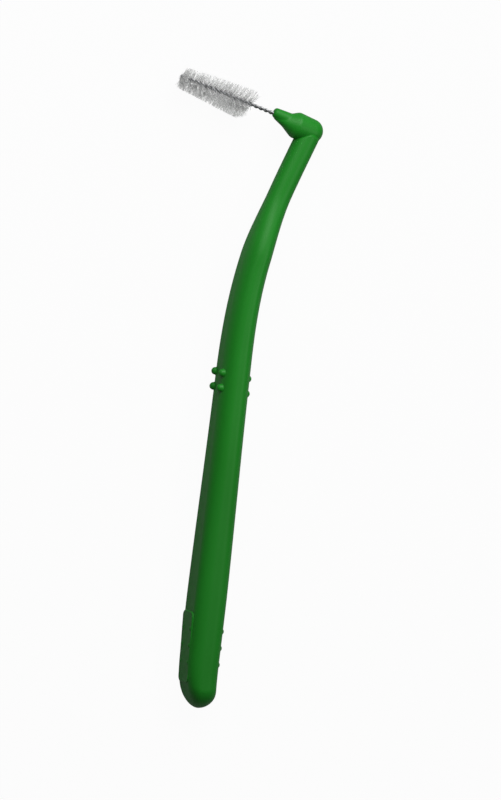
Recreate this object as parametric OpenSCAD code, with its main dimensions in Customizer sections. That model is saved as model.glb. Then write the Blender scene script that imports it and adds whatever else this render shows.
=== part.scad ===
// An angled interdental brush that lies on its side.
// A long slim handle bends back into a neck, a small head sits across the neck's end,
// and a twisted wire in the head carries a tapered round of bristles.

/* [Grip] */
// Length of the straight grip, from the handle's end to the start of the bend
grip_run = 68; // [55:1:90]
// Width of the grip and the bend, across the front face
grip_w = 9; // [8:0.1:11]
// Thickness of the grip at its thickest, front to back
belly_t = 7; // [6:0.1:8]
// Distance of the thickest place from the handle's end
belly_at = 23; // [22:1:35]
// Thickness that the grip would have at its very end, were it not rounded
butt_t = 6.8; // [5.8:0.1:7.2]
// Thickness of the grip where the bend starts
grip_top_t = 6.35; // [5.5:0.05:6.8]
// How far the end's rounding reaches up the front
end_round_front = 10; // [6:0.5:13]
// How far the end's rounding reaches up the back
end_round_back = 3.5; // [3:0.5:9]
// How far the end's rounding reaches up the two sides
end_round_side = 4.5; // [4:0.5:10]
// How far the end's tip lies behind the grip's middle line
tip_back = 0.7; // [0:0.1:1]
// Depth of the flat land taken off each side of the grip
land_cut = 0.06; // [0.03:0.01:0.15]

/* [Neck] */
// Length along the bend between grip and neck
bend_run = 50; // [40:1:60]
// Length of the straight top of the neck, up to the head's axis
neck_top_run = 5.6; // [4:0.1:10]
// Angle between the grip and the neck
neck_bend = 20.5; // [10:0.5:30]
// Length of the slim neck, up to the head's axis
neck_run = 15.5; // [12:0.5:22]
// Length of the shoulder, where the handle narrows to the neck
shoulder_run = 12.5; // [8:0.5:16]
// Thickness of the handle at the shoulder's lower end
shoulder_t = 5.7; // [5:0.1:6.2]
// Width of the neck
neck_w = 5; // [4.6:0.1:5.2]
// Thickness of the neck, front to back
neck_t = 4.8; // [4.2:0.1:5]

/* [Grip dots] */
// Diameter of a dot
dot_d = 1.6; // [1.2:0.1:1.8]
// Distance between the two columns of dots
dot_column_gap = 4.2; // [3.4:0.1:4.8]
// Distance between the two rows of dots at the bend
bend_dot_pitch = 3.15; // [2.5:0.05:4]
// How far past the bend's start the upper row on the front lies
front_dots_past = 2.25; // [0:0.05:5]
// How far past the bend's start the upper row on the back lies
back_dots_past = 1.5; // [0:0.1:5]
// Height of the dots on the front at the bend, over the face round them
front_dot_h = 1; // [0.5:0.05:1.3]
// Height of the dots on the back, at the bend and near the end
back_dot_h = 0.35; // [0.2:0.05:0.6]
// Rows of dots near the handle's end
end_dot_rows = 3; // [2:1:4]
// Distance between those rows
end_dot_pitch = 3.5; // [2.5:0.1:4]
// Distance of the lowest of those rows from the handle's end
end_dot_from = 9.45; // [8:0.05:12]
// Height of the dots on the raised panel
panel_dot_h = 0.2; // [0.15:0.05:0.6]

/* [Raised panel] */
// Length of the blank raised panel on the front, near the end
panel_len = 15; // [12:0.5:18]
// Width of the panel
panel_w = 5.8; // [5:0.1:6.4]
// Distance of the panel's lower edge from the handle's end
panel_from = 5.1; // [4:0.1:8]
// How far the panel's upper end stands out of the grip
panel_rise = 0.35; // [0.2:0.05:0.6]
// Angle by which the panel's face leans in towards the handle's end
panel_lean = 2.5; // [0:0.25:2.5]
// Radius of the panel's corners
panel_corner_r = 1.2; // [1:0.1:2.4]

/* [Head] */
// Diameter of the head's barrel at its front
barrel_d = 5.6; // [5.4:0.1:6]
// Diameter of the barrel where its rounded back begins
barrel_back_d = 5.2; // [5:0.1:5.4]
// How far the barrel reaches in front of the neck's middle line
barrel_front = 4.1; // [3.4:0.1:5]
// How far the barrel reaches behind the neck's middle line
barrel_back = 2.65; // [2.6:0.05:4]
// Radius of the barrel's rounded back end
barrel_back_r = 2.5; // [1:0.1:2.5]
// Radius of the edge round the barrel's front
barrel_front_r = 0.8; // [0.3:0.05:0.9]
// Angle between the neck and the brush
brush_angle = 95; // [85:1:110]
// Diameter of the cone at the barrel's front, under the nose
flare_base_d = 5; // [4.4:0.1:5.2]
// Distance of the cone's waist from the barrel's front
flare_waist_at = 2.1; // [1.5:0.1:2.6]
// Diameter of the cone at its waist
flare_waist_d = 2.7; // [2.4:0.1:3]
// Length of the whole cone
flare_len = 4.4; // [3.6:0.1:4.6]
// Diameter at the cone's small end
flare_tip_d = 1; // [0.8:0.1:1.4]
// Length of the nose, from the barrel's front to the wire's exit
nose_len = 5; // [4.8:0.1:6.5]
// Diameter of the nose where it leaves the barrel
nose_base_d = 3.2; // [2.6:0.1:3.6]
// Diameter of the nose near its tip
nose_tip_d = 2.15; // [1.9:0.05:2.5]
// Radius of the rounding at the nose's tip
nose_round_r = 0.55; // [0.3:0.05:0.8]
// Height of the nose's middle above the barrel's axis, at the barrel's front
nose_lift = 0.4; // [0.2:0.05:0.8]
// Angle by which the nose rises towards its tip
nose_rise = 5; // [0:0.5:7]
// Diameter of the spigot on the neck that carries the head
spigot_d = 2.2; // [1.8:0.1:2.6]
// How far the spigot stops short of the barrel's axis
spigot_stop = 0.8; // [0.6:0.1:1.2]
// Clearance at the spigot, at the seat and round the wire
fit_gap = 0.02; // [0.01:0.005:0.05]

/* [Wire] */
// Diameter of the wire that is folded and twisted
wire_d = 0.35; // [0.25:0.01:0.36]
// Slot between the wire's two legs, where the filaments are held
wire_slot = 0.15; // [0.14:0.01:0.2]
// Length of one full turn of the twist
twist_pitch = 2.37; // [2.3:0.01:3.2]
// Height of the wire above the barrel's axis
wire_lift = 0.5; // [0.3:0.01:0.8]
// Length of bare wire between the nose and the bristles
bare_run = 5.35; // [2:0.05:8]
// Length of bare wire past the last bristle, before the fold
tip_run = 0.12; // [0.05:0.01:0.5]
// How far the wire's two ends reach past the neck's middle line inside the head
tail_past = 1.2; // [0.4:0.1:1.8]

/* [Bristles] */
// Filaments held in each turn of the twist
filaments_per_turn = 28; // [22:1:28]
// Diameter of a filament
filament_d = 0.1; // [0.08:0.005:0.11]
// Diameter of the round of bristles next to the handle
brush_base_d = 7.3; // [5:0.1:9]
// Diameter of the round of bristles at the wire's tip
brush_tip_d = 4.8; // [3:0.1:7]
// How much further the bristles reach below the wire than they do sideways, as a share
tuft_drop_share = 0.11; // [0:0.01:0.2]
// Length over which the bristles at the handle's side are trimmed to a round shoulder
trim_run = 1.6; // [0.5:0.1:3]
// Angle by which the bristles lean at the handle's side: up towards the nose, down away from it
base_lean = 17; // [0:1:25]

/* [Hidden] */
NODES = ["handle", "brush_head", "core_wire",
         "filament_turn_1", "filament_turn_2", "filament_turn_3", "filament_turn_4",
         "filament_turn_5", "filament_turn_6", "filament_turn_7"];

// Turns of the twist that hold filaments: each is a sub-part, after the three that hold none
bare_nodes = 3;
bristle_turns = len(NODES) - bare_nodes;

// Fineness of the shapes
corner_steps = 6;
end_rings = 9;
grip_rings = 16;
bend_rings = 36;
round_steps = 48;
arc_steps = 5;
wire_sides = 6;
wire_rings_per_turn = 11;
fold_steps = 6;
ribbon_rings_per_turn = 24;
filament_sides = 3;

// One overrun serves every cut, and one root every boss that stands on a face
overrun = 1;
boss_root = 1;

green = [0.13, 0.46, 0.16];
steel = [0.45, 0.46, 0.47];
nylon = [0.93, 0.94, 0.93];

// Places along the handle's middle line, measured from its end
spine_len = grip_run + bend_run + neck_top_run;
neck_at = spine_len - neck_run;
shoulder_at = neck_at - shoulder_run;

// Width and thickness along the handle, as pairs of place and size
widths = [[0, grip_w], [shoulder_at, grip_w], [neck_at, neck_w]];
thicknesses = [[0, butt_t], [belly_at, belly_t], [grip_run, grip_top_t],
               [shoulder_at, shoulder_t], [neck_at, neck_t]];

// Shares of the half thickness and of the half width that the rounded long edges take
side_round_shares = [[0, 0.85], [grip_run, 0.88], [neck_at, 0.95]];
face_round_shares = [[belly_at, 0.5], [grip_run, 0.78], [shoulder_at, 0.88], [neck_at, 0.9]];

// A rise from 0 to 1 that starts and ends level
function ease(t) = let (c = min(max(t, 0), 1)) c * c * (3 - 2 * c);
// The same, half way back to a straight rise
function soften(t) = (t + ease(t)) / 2;

// The value at one place along a list of pairs
function along(table, s) =
    let (last = len(table) - 1)
    s <= table[0][0] ? table[0][1] :
    s >= table[last][0] ? table[last][1] :
    let (i = max([for (k = [0 : last - 1]) if (s >= table[k][0]) k]),
         low = table[i], high = table[i + 1])
    low[1] + (high[1] - low[1]) * soften((s - low[0]) / (high[0] - low[0]));

// Share of the full size left at one place of a rounded end
function end_share(s, reach) = s >= reach ? 1 : sqrt(1 - pow(1 - s / reach, 2));

// Direction of the middle line, as an angle back from the grip's axis
function heading(s) = neck_bend * ease((s - grip_run) / bend_run);

// The rings of the handle's skin: even round the end, then along the grip and the bend
end_reach = max(end_round_front, end_round_back, end_round_side);
ring_places = concat(
    [for (i = [1 : end_rings]) end_reach * (1 - cos(90 * i / end_rings))],
    [for (i = [1 : grip_rings]) end_reach + (grip_run - end_reach) * i / grip_rings],
    [for (i = [1 : bend_rings]) grip_run + (spine_len - grip_run) * i / bend_rings]);
ring_count = len(ring_places);

// The middle line, walked from ring to ring
spine = [for (i = 0, s = 0, p = [0, 0]; i <= ring_count;
              step = i < ring_count ? ring_places[i] - s : 0,
              a = heading(s + step / 2),
              p = p + step * [sin(a), cos(a)],
              s = s + step,
              i = i + 1) p];
neck_end = spine[ring_count];

// Half thickness on the front and on the back, and half width, at one place
function front_half(s) = along(thicknesses, s) / 2 * end_share(s, end_round_front);
function back_half(s) = along(thicknesses, s) / 2 * end_share(s, end_round_back);
function side_half(s) = (along(widths, s) / 2 + land_cut) * end_share(s, end_round_side);

// Share of a half size that the corner takes at one place: all of it at the very end
function corner_share(s, shares) = 1 - (1 - along(shares, s)) * end_share(s, end_round_side);

// How far the front or the back stands out at one place across it
function face_at(s, half, z) =
    let (w = side_half(s), rx = corner_share(s, side_round_shares) * half,
         rz = corner_share(s, face_round_shares) * w,
         over = max(0, abs(z) - (w - rz)) / rz)
    half - rx + rx * sqrt(1 - over * over);

// How far one section is moved back, towards the end's tip
function section_back(s) = tip_back * (1 - end_share(s, end_round_front));

// A rounded rectangle round the middle line, as pairs of back and side
function section(s) =
    let (f = front_half(s), b = back_half(s), w = side_half(s), back = section_back(s),
         t_share = corner_share(s, side_round_shares),
         w_share = corner_share(s, face_round_shares))
    [for (q = [0 : 3], k = [0 : corner_steps])
        let (a = 90 * (q + k / corner_steps),
             x = q == 0 || q == 3 ? b : f,
             way = [q == 0 || q == 3 ? 1 : -1, q < 2 ? 1 : -1],
             r = [t_share * x, w_share * w])
        [back + way[0] * (x - r[0]) + r[0] * cos(a), way[1] * (w - r[1]) + r[1] * sin(a)]];

section_size = 4 * (corner_steps + 1);

// The sections are walked from the back downwards, so that the skin faces outwards
skin_points = concat(
    [[tip_back, 0, 0]],
    [for (i = [0 : ring_count - 1])
        let (s = ring_places[i], a = heading(s), p = spine[i + 1])
        for (q = section(s))
            [p[0] + q[0] * cos(a), p[1] - q[0] * sin(a), -q[1]]]);

function skin_index(ring, k) = 1 + ring * section_size + k % section_size;

skin_faces = concat(
    [for (k = [0 : section_size - 1]) [0, skin_index(0, k), skin_index(0, k + 1)]],
    [for (i = [0 : ring_count - 2], k = [0 : section_size - 1], half = [0, 1])
        half == 0
            ? [skin_index(i, k), skin_index(i + 1, k), skin_index(i, k + 1)]
            : [skin_index(i, k + 1), skin_index(i + 1, k), skin_index(i + 1, k + 1)]],
    [[for (k = [section_size - 1 : -1 : 0]) skin_index(ring_count - 1, k)]]);

// Where the head sits: its own +Y points away from the neck and the brush along its -X
head_turn = brush_angle - 90 - neck_bend;
barrel_r = barrel_d / 2;
dome_r = barrel_back_d / 2;
nose_tip_x = -barrel_front - nose_len;

module at_head() {
    translate([neck_end[0], neck_end[1], 0]) rotate([0, 0, head_turn]) children();
}

// Where the wire leaves the nose, with +Z along the wire towards its tip
module at_wire() {
    at_head() translate([nose_tip_x, wire_lift, 0]) rotate([0, -90, 0]) children();
}

// A place on the middle line, with +Y along it
function ring_below(s) = max([for (i = [0 : ring_count - 1]) if (ring_places[i] <= s) i]);
module at_place(s) {
    i = ring_below(s);
    step = s - ring_places[i];
    a = heading(s - step / 2);
    p = spine[i + 1] + step * [sin(a), cos(a)];
    translate([p[0], p[1], 0]) rotate([0, 0, -heading(s)]) children();
}

// The wire's own sizes: its legs lie either side of the slot
leg_r = wire_d / 2;
leg_offset = wire_slot / 2 + leg_r;
core_r = leg_offset + leg_r;
bristle_run = bristle_turns * twist_pitch;
fold_at = bare_run + bristle_run + tip_run;
tail_at = nose_tip_x - tail_past;

// Angle of the slot at one height on the wire
function slot_angle(z) = 360 * (z - bare_run) / twist_pitch;

// The filaments, by their number from the handle's side
filament_step = twist_pitch / filaments_per_turn;
filament_total = bristle_turns * filaments_per_turn;
function filament_height(i) = bare_run + (i + 0.5) * filament_step;
function tip_share(i) = (i + 0.5) / filament_total;

// The round shoulder at the handle's side: the share cut off the first filament
trim_share = 0.25;
function filament_trim(i) =
    1 - trim_share * pow(max(0, 1 - (filament_height(i) - bare_run) / trim_run), 2);
function filament_reach(i) =
    filament_trim(i) * (brush_base_d + (brush_tip_d - brush_base_d) * tip_share(i)) / 2;

// The end of one filament's arm (way = 1) or of the arm opposite (way = -1)
function filament_end(i, way) =
    let (z = filament_height(i), a = slot_angle(z),
         r = way * filament_reach(i) * (1 - way * sin(a) * tuft_drop_share))
    [r * cos(a), r * sin(a), z - r * sin(a) * (1 - tip_share(i)) * tan(base_lean)];

// The brush's own outermost points, for the box that the origin is centred in
function wire_to_model(p) =
    let (x = nose_tip_x - p[2], y = wire_lift + p[1])
    [neck_end[0] + x * cos(head_turn) - y * sin(head_turn),
     neck_end[1] + x * sin(head_turn) + y * cos(head_turn)];
filament_tips = [for (i = [0 : filament_total - 1], way = [-1, 1])
    wire_to_model(filament_end(i, way))];
fold_tip = wire_to_model([0, 0, fold_at + core_r]);
low_x = min(fold_tip[0], min([for (p = filament_tips) p[0]]));
high_x = neck_end[0] + (barrel_back - barrel_back_r) * cos(head_turn)
         + (dome_r - barrel_back_r) * abs(sin(head_turn)) + barrel_back_r;
high_y = max([for (p = filament_tips) p[1]]);

// The model's own place: centred over the flat land that it rests on
module in_place() {
    translate([-(low_x + high_x) / 2, -high_y / 2, grip_w / 2]) children();
}

// A dot on the front (way = -1) or the back (way = 1): a round stud with a domed end
module dot(way, z, height, face) {
    dot_r = dot_d / 2;
    translate([way * (face + height - dot_r), 0, z]) {
        sphere(r = dot_r, $fn = round_steps);
        rotate([0, -90 * way, 0]) cylinder(r = dot_r, h = height + boss_root, $fn = round_steps);
    }
}

module dot_row(s, way, height, face) {
    at_place(s) for (z = [-dot_column_gap / 2, dot_column_gap / 2]) dot(way, z, height, face);
}

// The handle's own face under a row of dots
function front_face(s) = face_at(s, front_half(s), dot_column_gap / 2);
function back_face(s) = face_at(s, back_half(s), dot_column_gap / 2);

// The panel's face, as a distance in front of the grip's middle
panel_top = panel_from + panel_len;
panel_top_x = front_half(panel_top) + panel_rise;
function panel_x(s) = panel_top_x - (panel_top - s) * tan(panel_lean);

module raised_panel() {
    depth = panel_rise + boss_root;
    translate([-panel_top_x, panel_top, 0]) rotate([0, 0, panel_lean]) rotate([0, 90, 0])
        linear_extrude(height = depth)
            rounded_plate(panel_w, panel_len, panel_corner_r);
}

// A plate with round corners that hangs down from the middle of its upper edge
module rounded_plate(w, l, r) {
    polygon(concat(
        arc(w / 2 - r, -r, r, 0, 90),
        arc(r - w / 2, -r, r, 90, 180),
        arc(r - w / 2, r - l, r, 180, 270),
        arc(w / 2 - r, r - l, r, 270, 360)));
}

// Points of an arc, from one angle to another
function arc(cx, cy, r, from, to) =
    [for (k = [0 : arc_steps]) let (a = from + (to - from) * k / arc_steps)
        [cx + r * cos(a), cy + r * sin(a)]];

// The barrel with its rounded ends, grown by a clearance where it is used as a cut
module barrel_form(grow) {
    front_r = barrel_r + grow;
    back_r = dome_r + grow;
    rotate([0, 90, 0]) rotate_extrude($fn = round_steps)
        polygon(concat(
            [[0, -barrel_front - grow]],
            arc(front_r - barrel_front_r, -barrel_front - grow + barrel_front_r,
                barrel_front_r, -90, 0),
            arc(back_r - barrel_back_r, barrel_back + grow - barrel_back_r, barrel_back_r, 0, 90),
            [[0, barrel_back + grow]]));
}

// The spigot's middle line leans with the neck
module at_spigot() {
    rotate([0, 0, 90 - brush_angle]) rotate([-90, 0, 0]) children();
}

// The handle: grip, bend and neck in one moulding
module handle() {
    color(green) in_place() {
        difference() {
            union() {
                intersection() {
                    polyhedron(points = skin_points, faces = skin_faces, convexity = 6);
                    translate([-spine_len, -overrun, -grip_w / 2])
                        cube([2 * spine_len, spine_len + 2 * overrun, grip_w]);
                }
                for (row = [0, 1]) {
                    front_s = grip_run + front_dots_past - row * bend_dot_pitch;
                    back_s = grip_run + back_dots_past - row * bend_dot_pitch;
                    dot_row(front_s, -1, front_dot_h, front_face(front_s));
                    dot_row(back_s, 1, back_dot_h, back_face(back_s));
                }
                for (row = [0 : end_dot_rows - 1]) {
                    s = end_dot_from + row * end_dot_pitch;
                    dot_row(s, -1, panel_dot_h, panel_x(s));
                    dot_row(s, 1, back_dot_h, back_face(s));
                }
                raised_panel();
            }
            at_head() barrel_form(fit_gap);
        }
        at_head() at_spigot() translate([0, 0, -barrel_r - boss_root])
            cylinder(d = spigot_d, h = barrel_r + boss_root - spigot_stop, $fn = round_steps);
    }
}

// The cone that the nose stands on: steep at the barrel, then slim under the nose
module flare_form() {
    translate([-barrel_front, 0, 0]) rotate([0, -90, 0]) rotate_extrude($fn = round_steps)
        polygon([[0, -boss_root], [flare_base_d / 2, -boss_root], [flare_base_d / 2, 0],
                 [flare_waist_d / 2, flare_waist_at], [flare_tip_d / 2, flare_len],
                 [0, flare_len]]);
}

// The nose: a tapered tip with a rounded end
module nose_form() {
    base_r = nose_base_d / 2;
    tip_r = nose_tip_d / 2;
    translate([-barrel_front, nose_lift, 0]) rotate([0, 0, -nose_rise]) rotate([0, -90, 0])
        rotate_extrude($fn = round_steps)
            polygon(concat(
                [[0, -boss_root], [base_r, -boss_root], [base_r, 0]],
                arc(tip_r - nose_round_r, nose_len - nose_round_r, nose_round_r, 0, 90),
                [[0, nose_len]]));
}

// The head: a barrel across the neck's end, with a nose that the wire comes out of
module brush_head() {
    color(green) in_place() at_head() {
        difference() {
            union() {
                barrel_form(0);
                flare_form();
                nose_form();
            }
            translate([nose_tip_x - overrun, wire_lift, 0]) rotate([0, 90, 0])
                cylinder(r = core_r + fit_gap, h = overrun - tail_at + fit_gap, $fn = round_steps);
            at_spigot() translate([0, 0, -barrel_r - overrun])
                cylinder(r = spigot_d / 2 + fit_gap, h = barrel_r + overrun - spigot_stop + fit_gap,
                         $fn = round_steps);
        }
    }
}

// The core wire's path: up one leg, round the fold and back down the other,
// as pairs of a point and the direction that faces out of the twist
leg_rings = round((fold_at - tail_at) / twist_pitch * wire_rings_per_turn);
function leg_height(i) = tail_at + (fold_at - tail_at) * i / leg_rings;
function leg_out(z, way) = let (a = slot_angle(z) + 90) way * [cos(a), sin(a), 0];
wire_path = concat(
    [for (i = [0 : leg_rings]) let (z = leg_height(i), out = leg_out(z, 1))
        [leg_offset * out + [0, 0, z], out]],
    [for (k = [1 : fold_steps - 1])
        let (a = 180 * k / fold_steps, out = cos(a) * leg_out(fold_at, 1) + [0, 0, sin(a)])
        [leg_offset * out + [0, 0, fold_at], out]],
    [for (i = [leg_rings : -1 : 0]) let (z = leg_height(i), out = leg_out(z, -1))
        [leg_offset * out + [0, 0, z], out]]);

wire_rings = len(wire_path);
function unit(v) = v / norm(v);
wire_points = [for (i = [0 : wire_rings - 1])
    let (before = wire_path[max(i - 1, 0)][0], after = wire_path[min(i + 1, wire_rings - 1)][0],
         ahead = unit(after - before), side = unit(cross(ahead, wire_path[i][1])),
         out = cross(side, ahead))
    for (k = [0 : wire_sides - 1])
        let (a = 360 * k / wire_sides)
        wire_path[i][0] + leg_r * (cos(a) * out + sin(a) * side)];

// Triangles between the rings of a tube that is closed by flat ends
function tube_faces(rings, sides) = concat(
    [[for (k = [0 : sides - 1]) k]],
    [for (i = [0 : rings - 2], k = [0 : sides - 1], half = [0, 1])
        let (a = i * sides + k, b = i * sides + (k + 1) % sides)
        half == 0 ? [a, a + sides, b] : [b, a + sides, b + sides]],
    [[for (k = [sides - 1 : -1 : 0]) (rings - 1) * sides + k]]);

// The core: one wire folded in half at the brush's tip and twisted
module core_wire() {
    color(steel) in_place() at_wire()
        polyhedron(points = wire_points, faces = tube_faces(wire_rings, wire_sides), convexity = 10);
}

// The bristles of one turn: filaments that cross the slot and stand out on both sides,
// fused to the thin twisted ribbon of plastic that fills the slot between the legs
ribbon_half_share = 0.85;
ribbon_thick_share = 0.45;

module ribbon(from, to) {
    half_w = ribbon_half_share * core_r;
    half_t = ribbon_thick_share * wire_slot / 2;
    corners = [[half_w, half_t], [-half_w, half_t], [-half_w, -half_t], [half_w, -half_t]];
    points = [for (i = [0 : ribbon_rings_per_turn])
        let (z = from + (to - from) * i / ribbon_rings_per_turn, a = slot_angle(z))
        for (c = corners)
            [c[0] * cos(a) - c[1] * sin(a), c[0] * sin(a) + c[1] * cos(a), z]];
    polyhedron(points = points, faces = tube_faces(ribbon_rings_per_turn + 1, len(corners)),
               convexity = 4);
}

module filament(i) {
    r = filament_d / 2;
    a = slot_angle(filament_height(i));
    across = [-sin(a), cos(a), 0];
    polyhedron(
        points = [for (way = [-1, 1], k = [0 : filament_sides - 1])
            let (b = 360 * k / filament_sides)
            filament_end(i, way) + r * (cos(b) * across + [0, 0, sin(b)])],
        faces = tube_faces(2, filament_sides));
}

module filament_turn(turn) {
    from = bare_run + (turn - 1) * twist_pitch;
    color(nylon) in_place() at_wire() {
        ribbon(from, from + twist_pitch);
        for (i = [0 : filaments_per_turn - 1]) filament((turn - 1) * filaments_per_turn + i);
    }
}

module filament_turn_1() { filament_turn(1); }
module filament_turn_2() { filament_turn(2); }
module filament_turn_3() { filament_turn(3); }
module filament_turn_4() { filament_turn(4); }
module filament_turn_5() { filament_turn(5); }
module filament_turn_6() { filament_turn(6); }
module filament_turn_7() { filament_turn(7); }

handle();
brush_head();
core_wire();
filament_turn_1();
filament_turn_2();
filament_turn_3();
filament_turn_4();
filament_turn_5();
filament_turn_6();
filament_turn_7();
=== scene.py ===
import math
import random

import bpy
import numpy as np
from mathutils import Matrix, Vector


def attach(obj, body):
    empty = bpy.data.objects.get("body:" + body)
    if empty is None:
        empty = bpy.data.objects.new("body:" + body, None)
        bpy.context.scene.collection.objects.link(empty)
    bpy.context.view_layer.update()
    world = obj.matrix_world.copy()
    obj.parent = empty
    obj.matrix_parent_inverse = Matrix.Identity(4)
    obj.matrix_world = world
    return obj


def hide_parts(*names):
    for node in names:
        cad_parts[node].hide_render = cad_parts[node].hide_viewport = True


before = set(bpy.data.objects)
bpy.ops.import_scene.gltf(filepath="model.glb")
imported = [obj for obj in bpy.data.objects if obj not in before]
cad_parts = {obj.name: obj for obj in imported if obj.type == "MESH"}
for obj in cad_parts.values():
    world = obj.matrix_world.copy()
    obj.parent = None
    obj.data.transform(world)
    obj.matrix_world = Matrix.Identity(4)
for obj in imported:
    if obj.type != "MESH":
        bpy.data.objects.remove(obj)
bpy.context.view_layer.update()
random.seed(7)

# Sizes are in millimetres, the same as the model's own; Blender's unit is a metre
MM = 0.001

# Grip: places are measured along the middle line from the handle's rounded end
GRIP_RUN = 68  # length of the straight grip
GRIP_W = 9  # width across the front
BELLY_T = 7  # thickness at the thickest place
BELLY_AT = 23  # where that place is
BUTT_T = 6.8  # thickness at the very end, were it not rounded
GRIP_TOP_T = 6.35  # thickness where the bend starts
END_FRONT = 10  # how far the end's rounding reaches up the front
END_BACK = 3.5  # how far it reaches up the back
END_SIDE = 4.5  # how far it reaches up the two sides
TIP_BACK = 0.7  # how far the end's tip lies behind the middle line
LAND_CUT = 0.06  # depth of the flat land taken off each side

# Bend, shoulder and neck
BEND_RUN = 50  # length along the bend
NECK_TOP_RUN = 5.6  # straight top of the neck, up to the head's axis
NECK_BEND = 20.5  # degrees between the grip and the neck
NECK_RUN = 15.5  # length of the slim neck, up to the head's axis
SHOULDER_RUN = 12.5  # length over which the handle narrows to the neck
SHOULDER_T = 5.7  # thickness at the shoulder's lower end
NECK_W = 5  # width across the front
NECK_T = 4.8  # thickness

# Dots, in two columns: two rows at the bend and more near the handle's end
DOT_R = 0.8
DOT_Z = 2.1  # distance of a column from the middle
BEND_DOT_PITCH = 3.15  # distance between the rows at the bend
FRONT_PAST = 2.25  # how far past the bend's start the upper row on the front lies
BACK_PAST = 1.5  # the same on the back
FRONT_DOT_H = 1  # height on the front at the bend
BACK_DOT_H = 0.35  # height on the back
PANEL_DOT_H = 0.2  # height on the raised panel
END_DOT_ROWS = 3  # rows near the end
END_DOT_PITCH = 3.5  # distance between them
END_DOT_FROM = 9.45  # distance of the lowest from the end

# Raised panel on the front, near the end
PANEL_LEN = 15
PANEL_W = 5.8
PANEL_FROM = 5.1  # distance of its lower edge from the end
PANEL_TOP = PANEL_FROM + PANEL_LEN
PANEL_RISE = 0.35  # how far its upper end stands out
PANEL_LEAN = 2.5  # degrees by which its face leans in towards the end
PANEL_R = 1.2  # radius of its corners

# Head: a barrel across the neck's end, with a cone and a nose at its front
BRUSH_ANGLE = 95  # degrees between the neck and the brush
BARREL_R = 2.8  # radius at the front
BARREL_FRONT = 4.1  # reach in front of the neck's middle line
BARREL_FRONT_R = 0.8  # rounding of the front edge
BARREL_BACK = 2.65  # reach behind the neck's middle line
BARREL_BACK_R = 2.5  # rounding of the back
DOME_R = 2.6  # radius where the rounded back begins
FLARE_BACK = 0.42  # how far behind the barrel's front the cone leaves it
FLARE_BACK_R = 2.71  # the cone's radius there
FLARE_BASE_R = 2.5  # its radius at the barrel's front
FLARE_WAIST_AT = 2.1
FLARE_WAIST_R = 1.35
FLARE_LEN = 4.4
FLARE_TIP_R = 0.5
NOSE_LEN = 5  # from the barrel's front to the wire's exit
NOSE_BASE_R = 1.6
NOSE_TIP_R = 1.075
NOSE_ROUND_R = 0.55  # rounding of the tip
NOSE_LIFT = 0.4  # height above the barrel's axis, at the barrel's front
NOSE_RISE = 5  # degrees by which it rises towards its tip
SEAT_GAP = 0.02  # clearance between the neck's end and the barrel

# Wire, and the round of bristles on it
TURNS = 7  # turns of the twist that hold bristles
TWIST_PITCH = 2.37  # length of one turn
BRISTLE_RUN = TURNS * TWIST_PITCH
WIRE_LIFT = 0.5  # height of the wire above the barrel's axis
BARE_RUN = 5.35  # bare wire between the nose and the bristles
TIP_RUN = 0.12  # bare wire past the last bristle, before the fold
TAIL_PAST = 1.2  # reach of the wire's ends past the neck's middle line
CORE_R = 0.425  # radius of the twisted core
CAD_PER_TURN = 28  # filaments in each turn of the model's own bristles
BRUSH_BASE_D = 7.3  # diameter of the round next to the handle
BRUSH_TIP_D = 4.8  # diameter at the tip
BASE_LEAN = 17  # degrees by which the bristles lean at the handle's side
BASE_SLOPE = math.tan(math.radians(BASE_LEAN))
TUFT_DROP_SHARE = 0.11  # how much further they reach below the wire than sideways
TRIM_RUN = 1.6  # length that is trimmed to a round shoulder at the handle's side
TRIM_SHARE = 0.25  # share cut off the first of them

# Places along the middle line, and the sizes and roundings there
STRAIGHT_FROM = GRIP_RUN + BEND_RUN
SPINE_LEN = STRAIGHT_FROM + NECK_TOP_RUN
NECK_AT = SPINE_LEN - NECK_RUN
SHOULDER_AT = NECK_AT - SHOULDER_RUN
WIDTHS = [[0, GRIP_W], [SHOULDER_AT, GRIP_W], [NECK_AT, NECK_W]]
THICKNESSES = [[0, BUTT_T], [BELLY_AT, BELLY_T], [GRIP_RUN, GRIP_TOP_T],
               [SHOULDER_AT, SHOULDER_T], [NECK_AT, NECK_T]]
SIDE_ROUND_SHARES = [[0, 0.85], [GRIP_RUN, 0.88], [NECK_AT, 0.95]]
FACE_ROUND_SHARES = [[BELLY_AT, 0.5], [GRIP_RUN, 0.78], [SHOULDER_AT, 0.88], [NECK_AT, 0.9]]


def ease(t):
    """A rise from 0 to 1 that starts and ends level."""
    c = min(max(t, 0.0), 1.0)
    return c * c * (3 - 2 * c)


def along(table, s):
    """The value at one place along a list of pairs."""
    if s <= table[0][0]:
        return table[0][1]
    if s >= table[-1][0]:
        return table[-1][1]
    i = max(k for k in range(len(table) - 1) if s >= table[k][0])
    (s0, v0), (s1, v1) = table[i], table[i + 1]
    t = (s - s0) / (s1 - s0)
    return v0 + (v1 - v0) * (t + ease(t)) / 2


def end_share(s, reach):
    """Share of the full size that is left at one place of the rounded end."""
    return 1.0 if s >= reach else math.sqrt(max(0.0, 1 - (1 - s / reach) ** 2))


def heading(s):
    """The middle line's direction, in radians back from the grip's axis."""
    return math.radians(NECK_BEND * ease((s - GRIP_RUN) / BEND_RUN))


def front_half(s):
    return along(THICKNESSES, s) / 2 * end_share(s, END_FRONT)


def back_half(s):
    return along(THICKNESSES, s) / 2 * end_share(s, END_BACK)


def side_half(s):
    return (along(WIDTHS, s) / 2 + LAND_CUT) * end_share(s, END_SIDE)


def section_back(s):
    """How far one section is moved back, towards the end's tip."""
    return TIP_BACK * (1 - end_share(s, END_FRONT))


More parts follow.
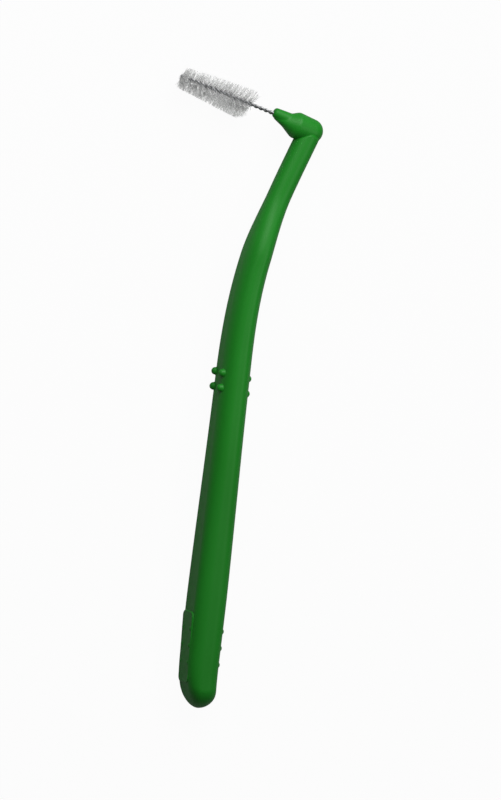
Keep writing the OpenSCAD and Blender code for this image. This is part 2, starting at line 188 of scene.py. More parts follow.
# The middle line, walked in small steps
WALK = 0.05
walk_s = np.arange(0, SPINE_LEN + WALK / 2, WALK)
walk_a = np.array([heading(s + WALK / 2) for s in walk_s])
walk_x = np.concatenate([[0], np.cumsum(np.sin(walk_a) * WALK)[:-1]])
walk_y = np.concatenate([[0], np.cumsum(np.cos(walk_a) * WALK)[:-1]])


def on_line(s):
    return np.array([np.interp(s, walk_s, walk_x), np.interp(s, walk_s, walk_y)])


NECK_END = on_line(SPINE_LEN)
HEAD_TURN = math.radians(BRUSH_ANGLE - 90 - NECK_BEND)
NOSE_TIP_X = -BARREL_FRONT - NOSE_LEN


def slot_angle(z):
    """Angle of the slot between the wire's legs, where the bristles cross it."""
    return 2 * math.pi * (z - BARE_RUN) / TWIST_PITCH


def reach_at(share):
    """Reach of the bristles at a share of their run, counted from the handle's side."""
    trim = 1 - TRIM_SHARE * max(0.0, 1 - share * BRISTLE_RUN / TRIM_RUN) ** 2
    return trim * (BRUSH_BASE_D + (BRUSH_TIP_D - BRUSH_BASE_D) * share) / 2


def head_to_part(p):
    """From the head's own frame (brush along -X, +Y away from the neck) to the handle's."""
    p = np.asarray(p, float)
    c, s = math.cos(HEAD_TURN), math.sin(HEAD_TURN)
    x = NECK_END[0] + p[..., 0] * c - p[..., 1] * s
    y = NECK_END[1] + p[..., 0] * s + p[..., 1] * c
    return np.stack([x, y, p[..., 2]], axis=-1)


def wire_to_part(p):
    """From the wire's own frame (+Z towards its tip, +Y up) to the handle's."""
    p = np.asarray(p, float)
    return head_to_part(np.stack([NOSE_TIP_X - p[..., 2], WIRE_LIFT + p[..., 1], p[..., 0]], axis=-1))


# The model's place: the box of the whole object is centred on the origin
def cad_filament_ends():
    """Both ends of each of the model's own filaments."""
    total = TURNS * CAD_PER_TURN
    ends = []
    for i in range(total):
        z = BARE_RUN + (i + 0.5) * TWIST_PITCH / CAD_PER_TURN
        share = (i + 0.5) / total
        a = slot_angle(z)
        for way in (-1, 1):
            r = way * reach_at(share) * (1 - way * math.sin(a) * TUFT_DROP_SHARE)
            lean = BASE_SLOPE * (1 - share)
            ends.append([r * math.cos(a), r * math.sin(a), z - r * math.sin(a) * lean])
    return wire_to_part(ends)


filament_ends = cad_filament_ends()
wire_tip = wire_to_part([0, 0, BARE_RUN + BRISTLE_RUN + TIP_RUN + CORE_R])
LOW_X = min(wire_tip[0], filament_ends[:, 0].min())
HIGH_X = (NECK_END[0] + (BARREL_BACK - BARREL_BACK_R) * math.cos(HEAD_TURN)
          + (DOME_R - BARREL_BACK_R) * abs(math.sin(HEAD_TURN)) + BARREL_BACK_R)
HIGH_Y = filament_ends[:, 1].max()


def in_place(p):
    """From the handle's frame to the part's: centred, and lying on the floor on its side."""
    return np.asarray(p, float) + [-(LOW_X + HIGH_X) / 2, -HIGH_Y / 2, GRIP_W / 2]


# Mesh helpers
def add_mesh(name, points, faces, material, node):
    """A smooth piece made from points in millimetres, standing for one node."""
    mesh = bpy.data.meshes.new(name)
    mesh.from_pydata([tuple(p) for p in np.asarray(points) * MM], [], faces)
    mesh.validate()
    mesh.update()
    for polygon in mesh.polygons:
        polygon.use_smooth = True
    mesh.materials.append(material)
    piece = bpy.data.objects.new(name, mesh)
    bpy.context.scene.collection.objects.link(piece)
    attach(piece, "root")
    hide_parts(node)


def ring_faces(rings, size, start=0):
    """Quads between rings of equal size."""
    faces = []
    for i in range(rings - 1):
        for k in range(size):
            n = (k + 1) % size
            faces.append((start + i * size + k, start + (i + 1) * size + k,
                          start + (i + 1) * size + n, start + i * size + n))
    return faces


def tube_faces(rings, size, start=0):
    """The same with a flat cap at each end."""
    first_cap = tuple(start + k for k in range(size))
    last_cap = tuple(start + (rings - 1) * size + k for k in reversed(range(size)))
    return ring_faces(rings, size, start) + [first_cap, last_cap]


def soft_max(a, b, k):
    """The larger of two heights, with a fillet between them."""
    h = max(k - abs(a - b), 0.0) / k
    return max(a, b) + h * h * k / 4


# The handle's rings: their distance from each other, fine where the shape changes fast
FIRST_PLACE = 0.012  # the first ring's distance from the end
LONGEST_STEP = 1.1
END_STEP, END_GROWTH = 0.03, 0.22
DOT_STEP, DOT_MARGIN = 0.09, 0.15
CORNER_STEP = 0.16  # along the panel's rounded corners
EDGE_STEP, EDGE_MARGIN = 0.05, 0.3  # at the panel's ends
STEP_GROWTH = 0.3  # how fast the steps grow again, away from the dots and the panel

front_rows = [GRIP_RUN + FRONT_PAST - row * BEND_DOT_PITCH for row in (0, 1)]
back_rows = [GRIP_RUN + BACK_PAST - row * BEND_DOT_PITCH for row in (0, 1)]
end_rows = [END_DOT_FROM + row * END_DOT_PITCH for row in range(END_DOT_ROWS)]


def spacing(s):
    """Distance to the next ring: fine at the end, round the dots and at the panel's edges."""
    step = min(LONGEST_STEP, END_STEP + END_GROWTH * s)
    for row in front_rows + back_rows + end_rows:
        step = min(step, DOT_STEP + STEP_GROWTH * max(0.0, abs(s - row) - DOT_R - DOT_MARGIN))
    for edge, low, high in ((PANEL_FROM, PANEL_FROM, PANEL_FROM + PANEL_R),
                            (PANEL_TOP, PANEL_TOP - PANEL_R, PANEL_TOP)):
        outside = max(low - s, s - high, 0.0)
        past_edge = max(0.0, abs(s - edge) - EDGE_MARGIN)
        step = min(step, CORNER_STEP + STEP_GROWTH * outside, EDGE_STEP + STEP_GROWTH * past_edge)
    return step


def ring_places():
    places = []
    s = FIRST_PLACE
    while s < SPINE_LEN:
        places.append(s)
        s += spacing(s)
    return places + [SPINE_LEN]


# Places across a face, out to where its rounded edges start, kept as shares of that reach:
# few in the middle, more under the dots and most at the panel's edges
FACE_REACH = 3.12
MIDDLE_PLACES = [0.0, 0.35, 0.7, 1.0, 1.2]
DOTS_FROM, DOTS_STEP = 1.29, 0.09
EDGES_FROM, EDGES_STEP = 2.7, 0.045
half_strip = (MIDDLE_PLACES + list(np.arange(DOTS_FROM, EDGES_FROM, DOTS_STEP))
              + list(np.arange(EDGES_FROM, FACE_REACH, EDGES_STEP)) + [FACE_REACH])
strip = np.array([-z for z in reversed(half_strip[1:])] + half_strip) / FACE_REACH
CORNER_POINTS = 7  # points along each rounded long edge

# Dots and panel on a face: outside its outline each falls away at a slope, and a fillet joins it
DOT_REACH = 1.3  # a row further away than this is left out
DOT_SLOPE = 6
NO_DOT, LOWEST_RISE = -9.0, -0.5
PANEL_EDGE, PANEL_SLOPE = 0.2, 3  # width of the panel's rounded edge, and the slope outside it
PANEL_FILLET = 0.08
PANEL_DOT_FILLET, FRONT_DOT_FILLET, BACK_DOT_FILLET = 0.1, 0.16, 0.14


def corner_share(s, shares):
    """Share of a half size that the rounding takes: all of it at the very end."""
    return 1 - (1 - along(shares, s)) * end_share(s, END_SIDE)


def face_at(s, half, z):
    """How far the front or the back stands out at one place across it."""
    w = side_half(s)
    rx, rz = corner_share(s, SIDE_ROUND_SHARES) * half, corner_share(s, FACE_ROUND_SHARES) * w
    over = max(0.0, abs(z) - (w - rz)) / rz
    return half - rx + rx * math.sqrt(max(0.0, 1 - over * over))


def panel_x(s):
    """How far the panel's leaning face stands out at one place along it."""
    top_x = front_half(PANEL_TOP) + PANEL_RISE
    return top_x - (PANEL_TOP - s) * math.tan(math.radians(PANEL_LEAN))


def panel_depth(s, z):
    """Distance inside the panel's outline, negative outside it."""
    dx = abs(z) - (PANEL_W / 2 - PANEL_R)
    dy = abs(s - PANEL_FROM - PANEL_LEN / 2) - (PANEL_LEN / 2 - PANEL_R)
    outside = math.hypot(max(dx, 0), max(dy, 0))
    return PANEL_R - outside - min(max(dx, dy), 0)


def dot_rise(s, z, rows, height):
    """Height of the nearest dot's dome over the face, negative well outside it."""
    best = NO_DOT
    for row in rows:
        if abs(s - row) > DOT_REACH:
            continue
        d = math.hypot(s - row, abs(z) - DOT_Z)
        if d < DOT_R:
            best = max(best, height - DOT_R + math.sqrt(DOT_R * DOT_R - d * d))
        else:
            best = max(best, height - DOT_R - DOT_SLOPE * (d - DOT_R))
    return best


def front_out(s, z, base):
    """How far the front stands out at one place, panel and dots included."""
    out = base
    depth = panel_depth(s, z)
    if depth > -PANEL_EDGE:
        t = min(max(depth / PANEL_EDGE, -1.0), 1.0)
        edge = math.sqrt(1 - (1 - t) ** 2) if t > 0 else PANEL_SLOPE * t
        out = soft_max(out, base + (panel_x(s) - base) * edge, PANEL_FILLET)
    rise = dot_rise(s, z, end_rows, PANEL_DOT_H)
    if rise > LOWEST_RISE:
        out = soft_max(out, panel_x(s) + rise, PANEL_DOT_FILLET)
    rise = dot_rise(s, z, front_rows, FRONT_DOT_H)
    if rise > LOWEST_RISE:
        out = soft_max(out, face_at(s, front_half(s), DOT_Z) + rise, FRONT_DOT_FILLET)
    return out


def back_out(s, z, base):
    """How far the back stands out at one place, dots included."""
    rise = dot_rise(s, z, end_rows + back_rows, BACK_DOT_H)
    if rise > LOWEST_RISE:
        return soft_max(base, face_at(s, back_half(s), DOT_Z) + rise, BACK_DOT_FILLET)
    return base


def long_edge(s, half, face, side, angles):
    """One rounded long edge of a section; face is -1 at the front and 1 at the back."""
    w, back = side_half(s), section_back(s)
    rx, rz = corner_share(s, SIDE_ROUND_SHARES) * half, corner_share(s, FACE_ROUND_SHARES) * w
    return [(back + face * (half - rx + rx * math.cos(a)), side * (w - rz + rz * math.sin(a)))
            for a in angles]


def handle_ring(s):
    """Pairs of back and side round one section, front face first."""
    f, b, w, back = front_half(s), back_half(s), side_half(s), section_back(s)
    rz = corner_share(s, FACE_ROUND_SHARES) * w
    reach = FACE_REACH / (GRIP_W / 2 + LAND_CUT) * w
    start = math.asin(min(1.0, max(0.0, (reach - (w - rz)) / rz)))
    to_side = np.linspace(start, math.pi / 2, CORNER_POINTS)[1:]
    from_side = np.linspace(math.pi / 2, start, CORNER_POINTS)[:-1]
    ring = [(-front_out(s, z, face_at(s, f, z) - back), z) for z in strip * reach]
    ring += long_edge(s, f, -1, 1, to_side) + long_edge(s, b, 1, 1, from_side)
    ring += [(back_out(s, z, face_at(s, b, z) + back), z) for z in reversed(strip * reach)]
    ring += long_edge(s, b, 1, -1, to_side) + long_edge(s, f, -1, -1, from_side)
    land = GRIP_W / 2
    return [(x, min(max(z, -land), land)) for x, z in ring]


# The neck's end is hollowed to sit on the barrel
SEAT_ROUNDS = 12  # rounds that find where a line along the neck meets the barrel
TOP_SHARES = (0.75, 0.5, 0.25)  # rings across that end, as shares of the neck's own outline


def barrel_radius(x):
    """Radius of the barrel at one place along it, grown by the clearance."""
    dome_at = BARREL_BACK - BARREL_BACK_R
    over = max(0.0, x - dome_at)
    taper = min(1.0, max(0.0, (dome_at - x) / (dome_at + BARREL_FRONT)))
    return (DOME_R + (BARREL_R - DOME_R) * taper - BARREL_BACK_R
            + math.sqrt(max(0.0, BARREL_BACK_R ** 2 - over ** 2)) + SEAT_GAP)


def seat_place(x, z):
    """Place along the neck where a line at x and z meets the barrel."""
    lean = math.radians(90 - BRUSH_ANGLE)
    s = SPINE_LEN - BARREL_R
    for _ in range(SEAT_ROUNDS):
        r = barrel_radius(x * math.cos(lean) + (SPINE_LEN - s) * math.sin(lean))
        depth = math.sqrt(max(0.0, r * r - z * z))
        s = SPINE_LEN - (depth + x * math.sin(lean)) / math.cos(lean)
    return s


def at_line(s, x, z):
    """A point beside the middle line."""
    p, a = on_line(s), heading(s)
    return (p[0] + x * math.cos(a), p[1] - x * math.sin(a), z)


def make_handle(material):
    places = ring_places()
    points = []
    for s in places:
        for x, z in handle_ring(s):
            at = s
            if s > STRAIGHT_FROM:
                share = (s - STRAIGHT_FROM) / (SPINE_LEN - STRAIGHT_FROM)
                at = STRAIGHT_FROM + share * (seat_place(x, z) - STRAIGHT_FROM)
            points.append(at_line(at, x, z))
    top = handle_ring(SPINE_LEN)
    for share in TOP_SHARES:
        for x, z in top:
            points.append(at_line(seat_place(x * share, z * share), x * share, z * share))
    pole, seat = len(points), len(points) + 1
    points.append((TIP_BACK, 0, 0))
    points.append(at_line(seat_place(0, 0), 0, 0))
    size = len(top)
    rings = len(places) + len(TOP_SHARES)
    faces = ring_faces(rings, size)
    last = (rings - 1) * size
    for k in range(size):
        n = (k + 1) % size
        faces.append((pole, k, n))
        faces.append((last + k, seat, last + n))
    add_mesh("handle_moulding", in_place(points), faces, material, "handle")


# The head: turned forms that run into each other, remeshed as one moulding
AXIS_R = 0.01  # radius that stands for a point on the axis
ROOT = 1  # how deep inside the barrel the cone and the nose start
TURNED_STEPS, ARC_STEPS, DOME_STEPS = 64, 10, 20
VOXEL = 0.09
FILLET_FACTOR, FILLET_ROUNDS = 0.5, 22


def turned(profile, place):
    """Points of a profile of radius and height turned round its axis, then placed."""
    points = []
    for r, h in profile:
        for k in range(TURNED_STEPS):
            a = 2 * math.pi * k / TURNED_STEPS
            points.append(place((r * math.cos(a), r * math.sin(a), h)))
    return points


def arc(cx, cy, r, a0, a1, steps=ARC_STEPS):
    """Points of an arc between two angles in degrees."""
    angles = [math.radians(a0 + (a1 - a0) * k / steps) for k in range(steps + 1)]
    return [(cx + r * math.cos(a), cy + r * math.sin(a)) for a in angles]


def barrel_place(p):
    return (p[2], p[0], -p[1])


def flare_place(p):
    return (-BARREL_FRONT - p[2], p[0], p[1])


def nose_place(p):
    rise = math.radians(NOSE_RISE)
    return (-BARREL_FRONT - p[2] * math.cos(rise) + p[0] * math.sin(rise),
            NOSE_LIFT + p[2] * math.sin(rise) + p[0] * math.cos(rise), p[1])


def head_forms():
    """The barrel, the cone and the nose, each closed and each running into the barrel."""
    barrel = ([(AXIS_R, -BARREL_FRONT)]
              + arc(BARREL_R - BARREL_FRONT_R, BARREL_FRONT_R - BARREL_FRONT, BARREL_FRONT_R, -90, 0)
              + arc(DOME_R - BARREL_BACK_R, BARREL_BACK - BARREL_BACK_R, BARREL_BACK_R, 0, 90, DOME_STEPS)
              + [(AXIS_R, BARREL_BACK)])
    flare = [(AXIS_R, -ROOT), (FLARE_BACK_R, -FLARE_BACK), (FLARE_BASE_R, 0),
             (FLARE_WAIST_R, FLARE_WAIST_AT), (FLARE_TIP_R, FLARE_LEN), (AXIS_R, FLARE_LEN)]
    nose = ([(AXIS_R, -ROOT), (NOSE_BASE_R, -ROOT), (NOSE_BASE_R, 0)]
            + arc(NOSE_TIP_R - NOSE_ROUND_R, NOSE_LEN - NOSE_ROUND_R, NOSE_ROUND_R, 0, 90)
            + [(AXIS_R, NOSE_LEN)])
    points, faces = [], []
    for profile, place in ((barrel, barrel_place), (flare, flare_place), (nose, nose_place)):
        faces += tube_faces(len(profile), TURNED_STEPS, len(points))
        points += turned(profile, place)
    return points, faces


def remeshed(points, faces):
    """One even skin round forms that overlap, with its inner corners smoothed to fillets."""
    mesh = bpy.data.meshes.new("head_forms")
    mesh.from_pydata(points, [], faces)
    mesh.update()
    draft = bpy.data.objects.new("head_forms", mesh)
    bpy.context.scene.collection.objects.link(draft)
    remesh = draft.modifiers.new("one_moulding", "REMESH")
    remesh.mode = "VOXEL"
    remesh.voxel_size = VOXEL
    remesh.adaptivity = 0.0
    smooth = draft.modifiers.new("fillets", "SMOOTH")
    smooth.factor = FILLET_FACTOR
    smooth.iterations = FILLET_ROUNDS
    bpy.context.view_layer.update()
    skin = draft.evaluated_get(bpy.context.evaluated_depsgraph_get()).to_mesh()
    skin_points = np.array([v.co for v in skin.vertices])
    skin_faces = [tuple(p.vertices) for p in skin.polygons]
    bpy.data.objects.remove(draft)
    return skin_points, skin_faces


def make_head(material):
    points, faces = remeshed(*head_forms())
    add_mesh("brush_head_moulding", in_place(head_to_part(points)), faces, material,
             "brush_head")


# The wire: one round wire folded in half and twisted tight, as thick as the model's core
LEG_R = 0.205
LEG_GAP = 0.03
LEG_OFFSET = LEG_R + LEG_GAP / 2
LEG_SHORT = 0.3  # how far short of the model's own the fold stops, inside the last bristles
WIRE_RINGS_PER_TURN, WIRE_SIDES, FOLD_STEPS = 18, 14, 12


def leg_out(z):
    """Direction from the wire's axis to its first leg."""
    a = 2 * math.pi * z / TWIST_PITCH
    return np.array([math.cos(a), math.sin(a), 0])


def wire_path():
    """Places along the wire from one end to the other, each with its direction off the axis."""
    fold_at = BARE_RUN + BRISTLE_RUN + TIP_RUN - LEG_SHORT
    tail_at = NOSE_TIP_X - TAIL_PAST
    rings = round((fold_at - tail_at) / TWIST_PITCH * WIRE_RINGS_PER_TURN)
    heights = [tail_at + (fold_at - tail_at) * i / rings for i in range(rings + 1)]
    path = [(z, leg_out(z)) for z in heights]
    for k in range(1, FOLD_STEPS):
        a = math.pi * k / FOLD_STEPS
        path.append((fold_at, math.cos(a) * leg_out(fold_at) + np.array([0, 0, math.sin(a)])))
    path += [(z, -leg_out(z)) for z in reversed(heights)]
    return [(LEG_OFFSET * out + [0, 0, z], out) for z, out in path]


def make_wire(material):
    path = wire_path()
    points = []
    for i, (p, out) in enumerate(path):
        ahead = path[min(i + 1, len(path) - 1)][0] - path[max(i - 1, 0)][0]
        ahead /= np.linalg.norm(ahead)
        side = np.cross(ahead, out)
        side /= np.linalg.norm(side)
        up = np.cross(side, ahead)
        for k in range(WIRE_SIDES):
            a = 2 * math.pi * k / WIRE_SIDES
            points.append(p + LEG_R * (math.cos(a) * up + math.sin(a) * side))
    add_mesh("core_wire_twisted", in_place(wire_to_part(points)), tube_faces(len(path), WIRE_SIDES),
             material, "core_wire")


# The bristles: fine strands that cross the slot, each with its own small bend
PER_TURN = 160
ARMS = 3  # two strands on opposite sides of the wire, and a short one below it
SHORT_ARM = 2
STRAND_R = 0.028
STRAND_SIDES, STRAND_JOINTS = 4, 3
ROOT_SHARE = 0.02  # share of its reach at which a strand starts
TIP_THIN_SHARE = 0.8  # share of its radius left at its tip

# Small differences between strands: their angle, lean, bow and sway, and how even their trim is
ANGLE_SPREAD = 0.85
LEAN_SPREAD, CROWD_LEAN_SPREAD, CROWD_BACK_SPREAD = 0.1, 0.06, 0.1
BOW_SPREAD_SHARE, SWAY_SPREAD_SHARE = 0.035, 0.03
CUT_SHARE, CUT_LOSS_SHARE = 0.985, 0.06
SHORT_HALF_TURNS, SHORT_CUT_SHARES = (0.2, 0.8), (0.3, 0.65)

# Strands left out so that the wire shows through the round: a share of all that rise above it,
# and a share of those that stand up from the floor, fading to none at a cosine of the angle
UPPER_LEFT_OUT_SHARE = 0.35
NEAR_LEFT_OUT_SHARE, NEAR_FROM = 0.75, 0.4

# At the tip the strands crowd and lean back, and more of them stand there, most below the wire
CROWD_RUN = 1.4
CROWD_LEAN, CROWD_LEAN_ABOVE_SHARE = 0.34, 0.4
CROWD_EXTRA, CROWD_SPAN_SHARE = 190, 0.04
CROWD_BELOW_SHARE, CROWD_CUT_SHARES = 0.62, (0.6, 0.97)
CROWD_SHORT_SHARE, CROWD_SHORT_CUT_SHARES, CROWD_SHORT_BACKS = 0.25, (0.2, 0.42), (-0.85, 0.0)


def pick_strand(z, arm, extra):
    """The angle and the cut of one strand, or None where it is left out."""
    a = slot_angle(z) + arm * math.pi + random.gauss(0, ANGLE_SPREAD)
    cut = CUT_SHARE - CUT_LOSS_SHARE * random.random() ** 3
    if extra:
        if arm > 0:
            return None
        a = random.uniform(0, math.pi)
        if random.random() < CROWD_BELOW_SHARE:
            a = -a
        return a, random.uniform(*CROWD_CUT_SHARES)
    if arm == SHORT_ARM:
        a = -random.uniform(*SHORT_HALF_TURNS) * math.pi
        return a, random.uniform(*SHORT_CUT_SHARES)
    if math.sin(a) > 0 and random.random() < UPPER_LEFT_OUT_SHARE:
        return None
    if random.random() < NEAR_LEFT_OUT_SHARE * (math.cos(a) - NEAR_FROM) / (1 - NEAR_FROM):
        return None
    return a, cut


def strand_points(share, a, cut, extra):
    """Rings of points along one strand, at a share of the bristles' run and an angle."""
    crowd = max(0.0, 1 - (1 - share) * BRISTLE_RUN / CROWD_RUN)
    lean = BASE_SLOPE * (1 - share) + random.gauss(0, LEAN_SPREAD + CROWD_LEAN_SPREAD * crowd)
    back = CROWD_LEAN * crowd * (1 + CROWD_LEAN_ABOVE_SHARE * math.sin(a))
    back += random.gauss(0, CROWD_BACK_SPREAD) * crowd
    if extra and random.random() < CROWD_SHORT_SHARE:
        cut = random.uniform(*CROWD_SHORT_CUT_SHARES)
        back = random.uniform(*CROWD_SHORT_BACKS)
    full = cut * reach_at(share) * (1 - math.sin(a) * TUFT_DROP_SHARE)
    bow = random.gauss(0, BOW_SPREAD_SHARE) * full
    sway = random.gauss(0, SWAY_SPREAD_SHARE) * full
    out = np.array([math.cos(a), math.sin(a), 0])
    across = np.array([-math.sin(a), math.cos(a), 0])
    forward = np.array([0, 0, 1])
    points = []
    for j in range(STRAND_JOINTS + 1):
        t = j / STRAND_JOINTS
        r = full * (ROOT_SHARE + (1 - ROOT_SHARE) * t)
        centre = r * out + across * bow * t * t
        centre[2] = BARE_RUN + share * BRISTLE_RUN - r * math.sin(a) * lean - r * back + sway * t * t
        thin = STRAND_R if j < STRAND_JOINTS else STRAND_R * TIP_THIN_SHARE
        for k in range(STRAND_SIDES):
            b = 2 * math.pi * k / STRAND_SIDES
            points.append(centre + thin * (math.cos(b) * across + math.sin(b) * forward))
    return points


def make_turn(turn, material):
    """The strands of one turn of the twist, with the extra ones of the tip in the last."""
    points, faces = [], []
    for i in range(PER_TURN + (CROWD_EXTRA if turn == TURNS else 0)):
        extra = i >= PER_TURN
        if extra:
            share = 1 - random.uniform(0, CROWD_SPAN_SHARE)
        else:
            share = ((turn - 1) * PER_TURN + i + 0.5) / (TURNS * PER_TURN)
        for arm in range(ARMS):
            picked = pick_strand(BARE_RUN + share * BRISTLE_RUN, arm, extra)
            if picked is None:
                continue
            faces += tube_faces(STRAND_JOINTS + 1, STRAND_SIDES, len(points))
            points += strand_points(share, *picked, extra)
    add_mesh("bristles_turn_%d" % turn, in_place(wire_to_part(points)), faces, material,
             "filament_turn_%d" % turn)


# Materials: noise scales and places are in the object's own space, in which 1 is a metre
def new_material(name):
    material = bpy.data.materials.new(name)
    material.use_nodes = True
    nodes = material.node_tree.nodes
    return material, nodes, material.node_tree.links, nodes["Principled BSDF"]


def object_noise(nodes, links, scale, detail, roughness=0.5, stretch=(1, 1, 1)):
    where = nodes.new("ShaderNodeTexCoord")
    mapping = nodes.new("ShaderNodeMapping")
    mapping.inputs["Scale"].default_value = stretch
    noise = nodes.new("ShaderNodeTexNoise")
    noise.inputs["Scale"].default_value = scale
    noise.inputs["Detail"].default_value = detail
    noise.inputs["Roughness"].default_value = roughness
    links.new(where.outputs["Object"], mapping.inputs["Vector"])
    links.new(mapping.outputs["Vector"], noise.inputs["Vector"])
    return noise.outputs["Fac"]


def ramp(nodes, links, value, stops):
    """Colours at places from 0 to 1, blended between them."""
    node = nodes.new("ShaderNodeValToRGB")
    while len(node.color_ramp.elements) < len(stops):
        node.color_ramp.elements.new(0.5)
    for element, (at, colour) in zip(node.color_ramp.elements, stops):
        element.position = at
        element.color = (*colour, 1)
    links.new(value, node.inputs["Fac"])
    return node.outputs["Color"]


def ranged(nodes, links, value, low, high, from_low=0.0, from_high=1.0):
    """A value carried from one range to another and kept inside it."""
    node = nodes.new("ShaderNodeMapRange")
    node.inputs["From Min"].default_value = from_low
    node.inputs["From Max"].default_value = from_high
    node.inputs["To Min"].default_value = low
    node.inputs["To Max"].default_value = high
    links.new(value, node.inputs["Value"])
    return node.outputs["Result"]


def moulded_plastic(name):
    """Satin moulded plastic: deep green with faint flow marks, a fine even grain, and painted light that
    brightens it towards the head.
    """
    material, nodes, links, shader = new_material(name)
    flow = object_noise(nodes, links, scale=90, detail=4, roughness=0.55, stretch=(1, 0.35, 1))
    green = ramp(nodes, links, flow,
                 [(0.3, (0.005, 0.135, 0.006)), (0.55, (0.006, 0.148, 0.008)),
                  (0.8, (0.008, 0.162, 0.010))])
    where = nodes.new("ShaderNodeTexCoord")
    parts = nodes.new("ShaderNodeSeparateXYZ")
    links.new(where.outputs["Object"], parts.inputs["Vector"])
    # Painted light: the green is painted darker along the lower grip and brighter above it, standing in
    # for the lamp's light falling off down the handle
    painted_top_light = ranged(nodes, links, parts.outputs["Y"], 0.91, 1.04, from_low=-0.026, from_high=-0.004)
    shade = nodes.new("ShaderNodeHueSaturation")
    links.new(painted_top_light, shade.inputs["Value"])
    links.new(green, shade.inputs["Color"])
    links.new(shade.outputs["Color"], shader.inputs["Base Color"])
    grain = object_noise(nodes, links, scale=5200, detail=3, roughness=0.6)
    links.new(ranged(nodes, links, grain, 0.42, 0.52), shader.inputs["Roughness"])
    bump = nodes.new("ShaderNodeBump")
    bump.inputs["Strength"].default_value = 0.35
    bump.inputs["Distance"].default_value = 0.01 * MM
    links.new(grain, bump.inputs["Height"])
    links.new(bump.outputs["Normal"], shader.inputs["Normal"])
    shader.inputs["IOR"].default_value = 1.49
    shader.inputs["Specular IOR Level"].default_value = 0.2
    return material


def drawn_steel(name):
    """Fine stainless wire: grey metal with faint drawing marks."""
    material, nodes, links, shader = new_material(name)
    marks = object_noise(nodes, links, scale=9000, detail=3, roughness=0.6)
    grey = ramp(nodes, links, marks, [(0.3, (0.22, 0.225, 0.23)), (0.7, (0.34, 0.345, 0.35))])
    links.new(grey, shader.inputs["Base Color"])
    links.new(ranged(nodes, links, marks, 0.26, 0.42), shader.inputs["Roughness"])
    shader.inputs["Metallic"].default_value = 1.0
    return material


def fine_nylon(name):
    """Fine nylon: milky and a little clear, with small differences from strand to strand."""
    material, nodes, links, shader = new_material(name)
    marks = object_noise(nodes, links, scale=2600, detail=2)
    milky = ramp(nodes, links, marks, [(0.3, (0.68, 0.69, 0.69)), (0.7, (0.78, 0.78, 0.77))])
    links.new(milky, shader.inputs["Base Color"])
    links.new(ranged(nodes, links, marks, 0.3, 0.45), shader.inputs["Roughness"])
    shader.inputs["IOR"].default_value = 1.53
    shader.inputs["Transmission Weight"].default_value = 0.75
    return material


make_handle(moulded_plastic("handle_plastic"))
make_head(moulded_plastic("head_plastic"))
make_wire(drawn_steel("wire_steel"))
nylon = fine_nylon("bristle_nylon")
for turn in range(1, TURNS + 1):
    make_turn(turn, nylon)

# The photograph's angle, from above the part as it lies: the view leans over to the brush's side
# and a little to the head's end, and all of it is turned about the vertical
SIDE, TIP, TURN = math.radians(20), math.radians(6), math.radians(7.1)
spin = Matrix.Rotation(TURN, 3, "Z")
toward = Vector((-math.sin(SIDE) * math.cos(TIP), math.sin(TIP), math.cos(SIDE) * math.cos(TIP)))
right = Vector((0, 1, 0)).cross(toward).normalized()
up = toward.cross(right)

# The camera: where the handle's end lies in the picture sets its place
PICTURE_H_PX = 800
PX_PER_MM = 4.8
HANDLE_END_PX = (193.86, 707.48)
CENTRE_PX = (250.5, 400.0)
DISTANCE = 5.0  # metres
SENSOR_W = 36
CLIP_START, CLIP_END = 0.01, 20  # metres


def make_camera():
    px = MM / PX_PER_MM
    across = (CENTRE_PX[0] - HANDLE_END_PX[0]) * px
    above = (HANDLE_END_PX[1] - CENTRE_PX[1]) * px
    aim = Vector(in_place([0, 0, 0]) * MM) + spin @ (right * across + up * above)
    data = bpy.data.cameras.new("camera")
    data.sensor_fit = "AUTO"
    data.sensor_width = SENSOR_W
    data.lens = SENSOR_W * DISTANCE / (PICTURE_H_PX * px)
    data.clip_start, data.clip_end = CLIP_START, CLIP_END
    camera = bpy.data.objects.new("camera", data)
    bpy.context.scene.collection.objects.link(camera)
    camera.location = aim + (spin @ toward) * DISTANCE
    camera.rotation_mode = "QUATERNION"
    axes = Matrix([spin @ right, spin @ up, spin @ toward]).transposed()
    camera.rotation_quaternion = axes.to_quaternion()
    bpy.context.scene.camera = camera


# The white ground: how much of it each kind of ray sees, where 1 is white
FLOOR_WHITE_SHARES = {"Is Camera Ray": 0.96, "Is Transmission Ray": 0.96, "Is Glossy Ray": 0.1}
SURROUND_WHITE_SHARES = {"Is Camera Ray": 1, "Is Transmission Ray": 1}
SURROUND_LIGHT, SURROUND_WHITE = 0.16, 0.97  # the surround as light, and as it is seen
FLOOR_HALF = 3  # metres


def white_seen(nodes, links, ray_shares):
    """The share of white for the ray at hand: the largest among its kinds, and 0 for others."""
    light = nodes.new("ShaderNodeLightPath")
    seen = None
    for ray, white_share in ray_shares.items():
        share = nodes.new("ShaderNodeMath")
        share.operation = "MULTIPLY"
        share.inputs[1].default_value = white_share
        links.new(light.outputs[ray], share.inputs[0])
        if seen is not None:
            larger = nodes.new("ShaderNodeMath")
            larger.operation = "MAXIMUM"
            links.new(seen, larger.inputs[0])
            links.new(share.outputs["Value"], larger.inputs[1])
            share = larger
        seen = share.outputs["Value"]
    return seen


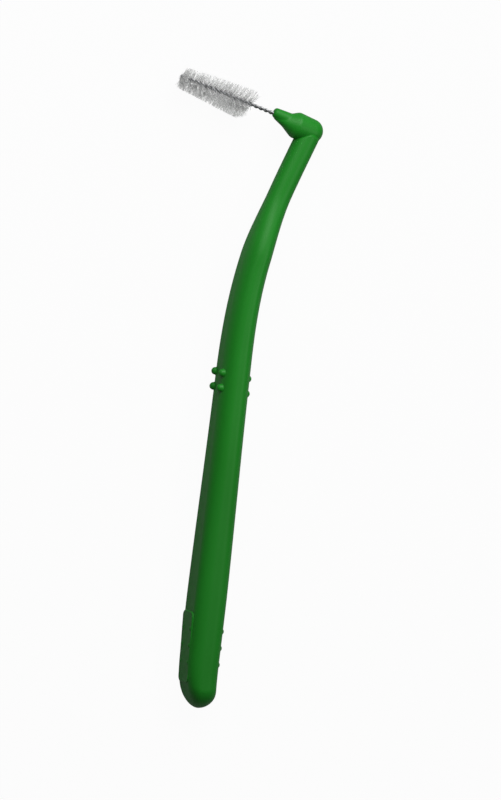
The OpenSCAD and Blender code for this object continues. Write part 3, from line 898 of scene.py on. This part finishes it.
def make_floor():
    """A pale floor that is seen as white and keeps the object's shadow."""
    corners = [(-1, -1), (1, -1), (1, 1), (-1, 1)]
    mesh = bpy.data.meshes.new("floor")
    mesh.from_pydata([(x * FLOOR_HALF, y * FLOOR_HALF, 0) for x, y in corners], [], [(0, 1, 2, 3)])
    floor = bpy.data.objects.new("floor", mesh)
    bpy.context.scene.collection.objects.link(floor)
    material, nodes, links, shader = new_material("floor_paper")
    grain = object_noise(nodes, links, scale=40, detail=3)
    pale = ramp(nodes, links, grain, [(0.3, (0.33, 0.33, 0.33)), (0.7, (0.35, 0.35, 0.35))])
    links.new(pale, shader.inputs["Base Color"])
    shader.inputs["Roughness"].default_value = 0.9
    shader.inputs["Specular IOR Level"].default_value = 0.1
    glow = nodes.new("ShaderNodeEmission")
    glow.inputs["Color"].default_value = (1, 1, 1, 1)
    both = nodes.new("ShaderNodeMixShader")
    links.new(white_seen(nodes, links, FLOOR_WHITE_SHARES), both.inputs["Fac"])
    links.new(shader.outputs["BSDF"], both.inputs[1])
    links.new(glow.outputs["Emission"], both.inputs[2])
    links.new(both.outputs["Shader"], nodes["Material Output"].inputs["Surface"])
    mesh.materials.append(material)


def make_surround():
    """A white surround that adds only a low even light."""
    world = bpy.data.worlds.new("surround")
    bpy.context.scene.world = world
    world.use_nodes = True
    nodes, links = world.node_tree.nodes, world.node_tree.links
    background = nodes["Background"]
    background.inputs["Color"].default_value = (1, 1, 1, 1)
    seen = white_seen(nodes, links, SURROUND_WHITE_SHARES)
    links.new(ranged(nodes, links, seen, SURROUND_LIGHT, SURROUND_WHITE), background.inputs["Strength"])


# Soft studio light: metres to the right, up and toward the camera, then disk size and watts
LAMPS = {
    "key": ((0.22, 0.42, 0.42), 0.5, 5.0),
    "fill": ((-0.05, 0.16, 0.22), 0.15, 0.17),
    "side": ((0.25, -0.02, 0.18), 0.06, 0.17),
}


def add_lamp(name, place, size, watts):
    """A round area lamp that faces the origin."""
    data = bpy.data.lights.new(name, "AREA")
    data.shape = "DISK"
    data.size = size
    data.energy = watts
    lamp = bpy.data.objects.new(name, data)
    bpy.context.scene.collection.objects.link(lamp)
    lamp.location = spin @ (right * place[0] + up * place[1] + toward * place[2])
    lamp.rotation_mode = "QUATERNION"
    lamp.rotation_quaternion = (-lamp.location).to_track_quat("-Z", "Y")


make_camera()
make_floor()
make_surround()
for name, (place, size, watts) in LAMPS.items():
    add_lamp(name, place, size, watts)
bpy.context.scene.view_settings.view_transform = "Standard"
